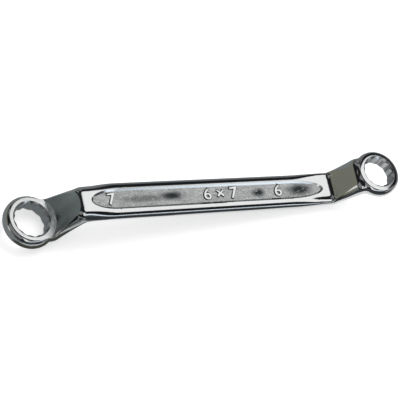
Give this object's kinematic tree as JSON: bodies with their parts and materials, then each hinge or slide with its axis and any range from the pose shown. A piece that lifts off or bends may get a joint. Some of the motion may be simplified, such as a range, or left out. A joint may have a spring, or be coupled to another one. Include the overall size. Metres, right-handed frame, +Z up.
{
  "type": "ring spanner",
  "caption": "Slim cranked ring spanner for small hexagon nuts: a straight bar with sunk panels that steps down to a toothed ring at one end and up to a smaller one at the other",
  "frame": {"origin": "middle of the footprint, on the surface that the spanner rests on", "axes": "+X runs along the spanner towards the 6 mm ring, +Y across it, +Z up; the part lies as it rests on a table, with the 7 mm ring down on its underside and the 6 mm ring up"},
  "size_m": [0.0872, 0.0116, 0.0111],
  "materials": {
    "chrome_steel": "bright chrome plate over forged chrome-vanadium steel: polished bar, necks and ring walls, ground ring faces, matt as-forged floor in the sunk panels"
  },
  "bodies": {
    "root": {"spanner_forging": "chrome_steel"}
  },
  "joints": []
}
